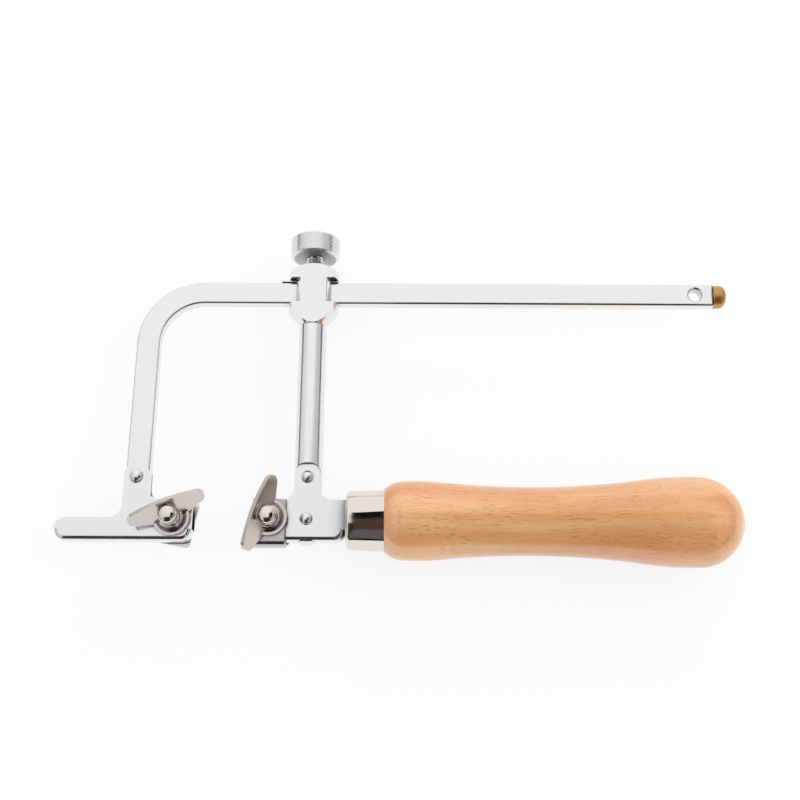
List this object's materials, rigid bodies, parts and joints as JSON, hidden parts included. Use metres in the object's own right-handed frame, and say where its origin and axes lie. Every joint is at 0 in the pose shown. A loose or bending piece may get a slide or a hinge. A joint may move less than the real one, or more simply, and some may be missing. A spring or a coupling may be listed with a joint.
{
  "type": "fret saw",
  "caption": "Adjustable fret saw frame: bent flat bar with fixed front foot, sliding post clamped by a knurled knob, rear foot, wing nut blade clamps and turned wooden handle.",
  "frame": {"origin": "under the middle of the saw's outline, on the surface the saw lies on when laid on its side", "axes": "+X along the bar from the front foot to the handle's end, +Y from the blade line to the bar, +Z out of the saw's plane on the wing nuts' side"},
  "size_m": [0.225, 0.1152, 0.0296],
  "materials": {
    "bright_plate": "bright cool plating on steel",
    "nickel": "warm polished nickel plating",
    "brass": "polished brass",
    "zinc": "satin zinc plating, knurled",
    "beech": "clear satin lacquer on beech"
  },
  "bodies": {
    "frame": {"frame_bar": "bright_plate", "front_foot": "bright_plate", "leg_rivet": "bright_plate", "front_spacer": "bright_plate", "stop_screw": "brass"},
    "slider": {"sliding_head": "bright_plate", "pressure_pad": "nickel", "post": "bright_plate", "rear_foot": "bright_plate", "upper_post_rivet": "bright_plate", "lower_post_rivet": "bright_plate", "rear_keeper": "nickel", "rear_spacer": "bright_plate", "handle_tang": "bright_plate", "ferrule": "nickel", "handle": "beech"},
    "clamp_screw": {"clamp_screw": "nickel"},
    "clamp_knob": {"knurled_knob": "zinc"},
    "front_nut": {"front_wing_nut": "nickel"},
    "front_jaw_set": {"front_clamp_stud": "nickel", "front_jaw": "bright_plate"},
    "rear_nut": {"rear_wing_nut": "nickel"},
    "rear_jaw_set": {"rear_clamp_stud": "nickel", "rear_jaw": "bright_plate"}
  },
  "joints": [
    {"name": "head_slide", "type": "slide", "parent": "frame", "child": "slider", "axis": [1, 0, 0], "range_m": [-0.008, 0.13]},
    {"name": "knob_turn", "type": "hinge", "parent": "clamp_screw", "child": "clamp_knob", "pos_m": [-0.03095, 0.0539, 0.0148], "axis": [0, 1, 0], "range_deg": [0, 720]},
    {"name": "screw_travel", "type": "slide", "parent": "slider", "child": "clamp_screw", "axis": [0, 1, 0], "range_m": [0, 0.002]},
    {"name": "front_nut_turn", "type": "hinge", "parent": "frame", "child": "front_nut", "pos_m": [-0.07435, -0.04281, 0.0181], "axis": [0, 0, 1], "range_deg": [0, 720]},
    {"name": "front_jaw_travel", "type": "slide", "parent": "frame", "child": "front_jaw_set", "axis": [0, 0, -1], "range_m": [0, 0.002]},
    {"name": "rear_nut_turn", "type": "hinge", "parent": "slider", "child": "rear_nut", "pos_m": [-0.04285, -0.04281, 0.0195], "axis": [0, 0, 1], "range_deg": [0, 720]},
    {"name": "rear_jaw_travel", "type": "slide", "parent": "slider", "child": "rear_jaw_set", "axis": [0, 0, -1], "range_m": [0, 0.002]}
  ],
  "couplings": [
    {"joint": "screw_travel", "follows": "knob_turn", "m_per_rad": 0.00015915},
    {"joint": "front_jaw_travel", "follows": "front_nut_turn", "m_per_rad": 0.00015915},
    {"joint": "rear_jaw_travel", "follows": "rear_nut_turn", "m_per_rad": 0.00015915}
  ]
}
